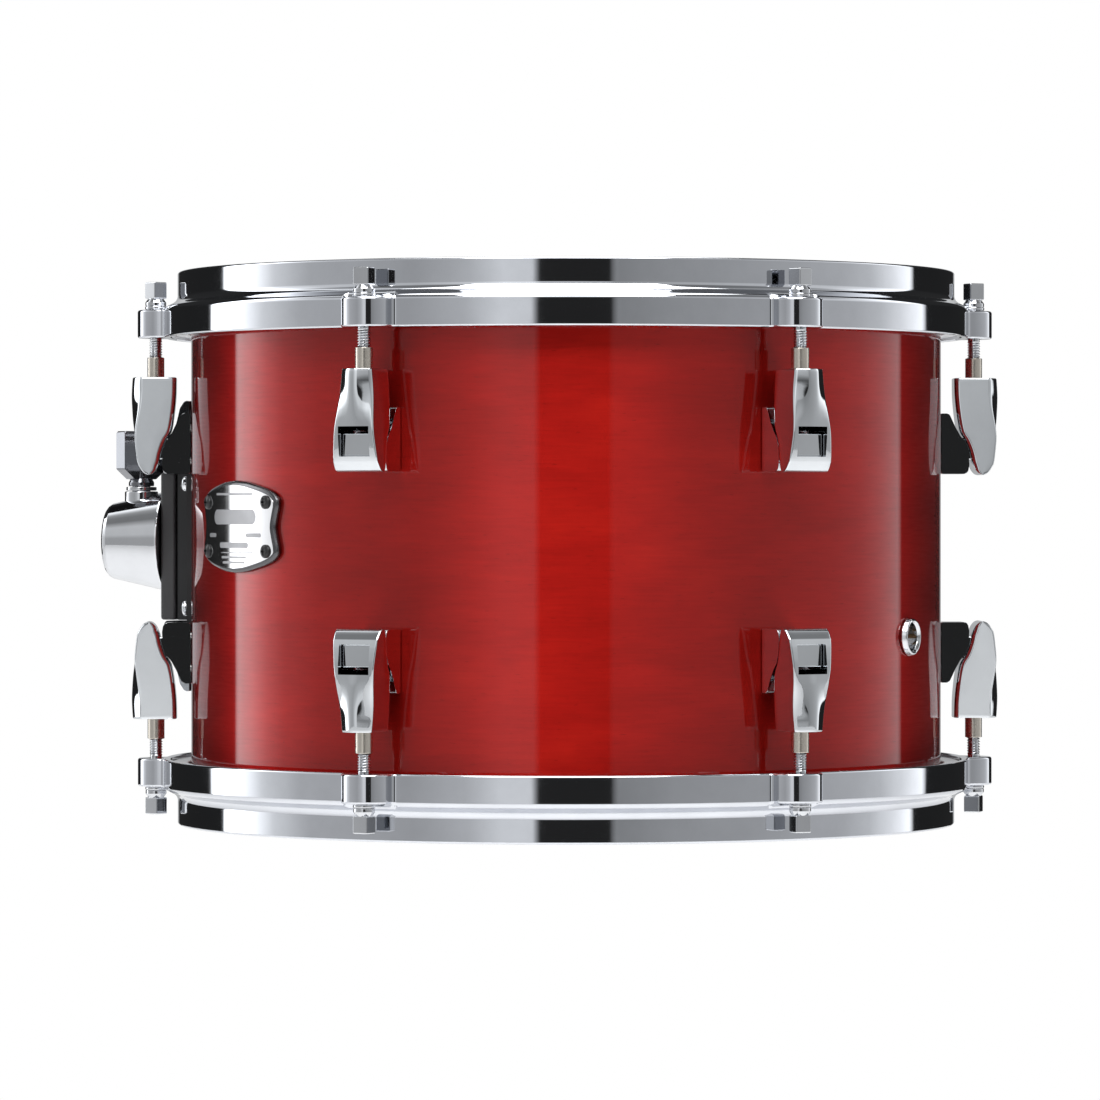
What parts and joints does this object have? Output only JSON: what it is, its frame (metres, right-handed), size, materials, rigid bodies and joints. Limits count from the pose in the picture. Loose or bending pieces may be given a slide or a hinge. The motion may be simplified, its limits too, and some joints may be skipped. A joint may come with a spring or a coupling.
{
  "type": "tom tom drum",
  "caption": "Rack tom drum: lacquered wooden shell, two tensioned heads under cast hoops with tension rods and hook lugs, air vent, badge, and a side mount with a clamp.",
  "frame": {"origin": "middle of the batter head's top face", "axes": "+Z along the drum's axis, out of the batter head; -Y is the front of the drum; -X is the side that carries the mount"},
  "size_m": [0.3634, 0.324, 0.2214],
  "materials": {
    "lacquered_shell": "gloss",
    "hoop_chrome": "polished",
    "lug_chrome": "polished",
    "chrome_trim": "polished",
    "rod_chrome": "polished",
    "plain_steel": "satin",
    "flesh_hoop_metal": "satin",
    "badge_metal": "polished",
    "black_screws": "satin",
    "batter_film": "matte",
    "resonant_film": "gloss",
    "isolator_rubber": "matte"
  },
  "bodies": {
    "shell": {"shell": "lacquered_shell", "vent_grommet": "chrome_trim", "vent_washer": "plain_steel", "badge_plate": "badge_metal", "badge_rivet_1": "black_screws", "badge_rivet_2": "black_screws", "badge_rivet_3": "black_screws", "badge_rivet_4": "black_screws", "batter_lug_1": "lug_chrome", "batter_lug_base_1": "lug_chrome", "batter_lug_2": "lug_chrome", "batter_lug_base_2": "lug_chrome", "batter_lug_3": "lug_chrome", "batter_lug_base_3": "lug_chrome", "batter_lug_4": "lug_chrome", "batter_lug_base_4": "lug_chrome", "batter_lug_5": "lug_chrome", "batter_lug_base_5": "lug_chrome", "batter_lug_6": "lug_chrome", "batter_lug_base_6": "lug_chrome", "resonant_lug_1": "lug_chrome", "resonant_lug_base_1": "lug_chrome", "resonant_lug_2": "lug_chrome", "resonant_lug_base_2": "lug_chrome", "resonant_lug_3": "lug_chrome", "resonant_lug_base_3": "lug_chrome", "resonant_lug_4": "lug_chrome", "resonant_lug_base_4": "lug_chrome", "resonant_lug_5": "lug_chrome", "resonant_lug_base_5": "lug_chrome", "resonant_lug_6": "lug_chrome", "resonant_lug_base_6": "lug_chrome", "mount_bracket": "chrome_trim", "mount_isolator": "isolator_rubber", "mount_receiver": "chrome_trim", "clamp_washer": "plain_steel", "mount_bolt_1": "plain_steel", "mount_bolt_2": "plain_steel", "mount_bolt_3": "plain_steel", "mount_bolt_4": "plain_steel"},
    "batter_hoop": {"batter_hoop": "hoop_chrome", "batter_flesh_hoop": "flesh_hoop_metal", "batter_head_film": "batter_film"},
    "batter_rod_1": {"batter_rod_1": "rod_chrome"},
    "batter_rod_2": {"batter_rod_2": "rod_chrome"},
    "batter_rod_3": {"batter_rod_3": "rod_chrome"},
    "batter_rod_4": {"batter_rod_4": "rod_chrome"},
    "batter_rod_5": {"batter_rod_5": "rod_chrome"},
    "batter_rod_6": {"batter_rod_6": "rod_chrome"},
    "resonant_hoop": {"resonant_hoop": "hoop_chrome", "resonant_flesh_hoop": "flesh_hoop_metal", "resonant_head_film": "resonant_film"},
    "resonant_rod_1": {"resonant_rod_1": "rod_chrome"},
    "resonant_rod_2": {"resonant_rod_2": "rod_chrome"},
    "resonant_rod_3": {"resonant_rod_3": "rod_chrome"},
    "resonant_rod_4": {"resonant_rod_4": "rod_chrome"},
    "resonant_rod_5": {"resonant_rod_5": "rod_chrome"},
    "resonant_rod_6": {"resonant_rod_6": "rod_chrome"},
    "clamp_shoe": {"clamp_shoe": "plain_steel"},
    "clamp_screw": {"clamp_screw": "chrome_trim"}
  },
  "joints": [
    {"name": "batter_hoop_slide", "type": "slide", "parent": "shell", "child": "batter_hoop", "axis": [0, 0, 1], "range_m": [0, 0.0127]},
    {"name": "batter_rod_1_turn", "type": "hinge", "parent": "batter_hoop", "child": "batter_rod_1", "pos_m": [-0.0826, -0.14307, 0], "axis": [0, 0, 1], "range_deg": [0, 4320]},
    {"name": "batter_rod_2_turn", "type": "hinge", "parent": "batter_hoop", "child": "batter_rod_2", "pos_m": [0.0826, -0.14307, 0], "axis": [0, 0, 1], "range_deg": [0, 4320]},
    {"name": "batter_rod_3_turn", "type": "hinge", "parent": "batter_hoop", "child": "batter_rod_3", "pos_m": [0.1652, 0, 0], "axis": [0, 0, 1], "range_deg": [0, 4320]},
    {"name": "batter_rod_4_turn", "type": "hinge", "parent": "batter_hoop", "child": "batter_rod_4", "pos_m": [0.0826, 0.14307, 0], "axis": [0, 0, 1], "range_deg": [0, 4320]},
    {"name": "batter_rod_5_turn", "type": "hinge", "parent": "batter_hoop", "child": "batter_rod_5", "pos_m": [-0.0826, 0.14307, 0], "axis": [0, 0, 1], "range_deg": [0, 4320]},
    {"name": "batter_rod_6_turn", "type": "hinge", "parent": "batter_hoop", "child": "batter_rod_6", "pos_m": [-0.1652, 0, 0], "axis": [0, 0, 1], "range_deg": [0, 4320]},
    {"name": "resonant_hoop_slide", "type": "slide", "parent": "shell", "child": "resonant_hoop", "axis": [0, 0, -1], "range_m": [0, 0.0127]},
    {"name": "resonant_rod_1_turn", "type": "hinge", "parent": "resonant_hoop", "child": "resonant_rod_1", "pos_m": [-0.0826, -0.14307, -0.20441], "axis": [0, 0, -1], "range_deg": [0, 4320]},
    {"name": "resonant_rod_2_turn", "type": "hinge", "parent": "resonant_hoop", "child": "resonant_rod_2", "pos_m": [0.0826, -0.14307, -0.20441], "axis": [0, 0, -1], "range_deg": [0, 4320]},
    {"name": "resonant_rod_3_turn", "type": "hinge", "parent": "resonant_hoop", "child": "resonant_rod_3", "pos_m": [0.1652, 0, -0.20441], "axis": [0, 0, -1], "range_deg": [0, 4320]},
    {"name": "resonant_rod_4_turn", "type": "hinge", "parent": "resonant_hoop", "child": "resonant_rod_4", "pos_m": [0.0826, 0.14307, -0.20441], "axis": [0, 0, -1], "range_deg": [0, 4320]},
    {"name": "resonant_rod_5_turn", "type": "hinge", "parent": "resonant_hoop", "child": "resonant_rod_5", "pos_m": [-0.0826, 0.14307, -0.20441], "axis": [0, 0, -1], "range_deg": [0, 4320]},
    {"name": "resonant_rod_6_turn", "type": "hinge", "parent": "resonant_hoop", "child": "resonant_rod_6", "pos_m": [-0.1652, 0, -0.20441], "axis": [0, 0, -1], "range_deg": [0, 4320]},
    {"name": "clamp_shoe_slide", "type": "slide", "parent": "shell", "child": "clamp_shoe", "axis": [0, 0, 1], "range_m": [0, 0.004]},
    {"name": "clamp_screw_turn", "type": "hinge", "parent": "clamp_shoe", "child": "clamp_screw", "pos_m": [-0.17227, 0.03977, -0.0792], "axis": [0, 0, 1], "range_deg": [0, 1152]}
  ],
  "couplings": [
    {"joint": "batter_rod_1_turn", "follows": "batter_hoop_slide", "rad_per_m": 5936.9},
    {"joint": "batter_rod_2_turn", "follows": "batter_hoop_slide", "rad_per_m": 5936.9},
    {"joint": "batter_rod_3_turn", "follows": "batter_hoop_slide", "rad_per_m": 5936.9},
    {"joint": "batter_rod_4_turn", "follows": "batter_hoop_slide", "rad_per_m": 5936.9},
    {"joint": "batter_rod_5_turn", "follows": "batter_hoop_slide", "rad_per_m": 5936.9},
    {"joint": "batter_rod_6_turn", "follows": "batter_hoop_slide", "rad_per_m": 5936.9},
    {"joint": "resonant_rod_1_turn", "follows": "resonant_hoop_slide", "rad_per_m": 5936.9},
    {"joint": "resonant_rod_2_turn", "follows": "resonant_hoop_slide", "rad_per_m": 5936.9},
    {"joint": "resonant_rod_3_turn", "follows": "resonant_hoop_slide", "rad_per_m": 5936.9},
    {"joint": "resonant_rod_4_turn", "follows": "resonant_hoop_slide", "rad_per_m": 5936.9},
    {"joint": "resonant_rod_5_turn", "follows": "resonant_hoop_slide", "rad_per_m": 5936.9},
    {"joint": "resonant_rod_6_turn", "follows": "resonant_hoop_slide", "rad_per_m": 5936.9},
    {"joint": "clamp_screw_turn", "follows": "clamp_shoe_slide", "rad_per_m": 5026.5}
  ]
}
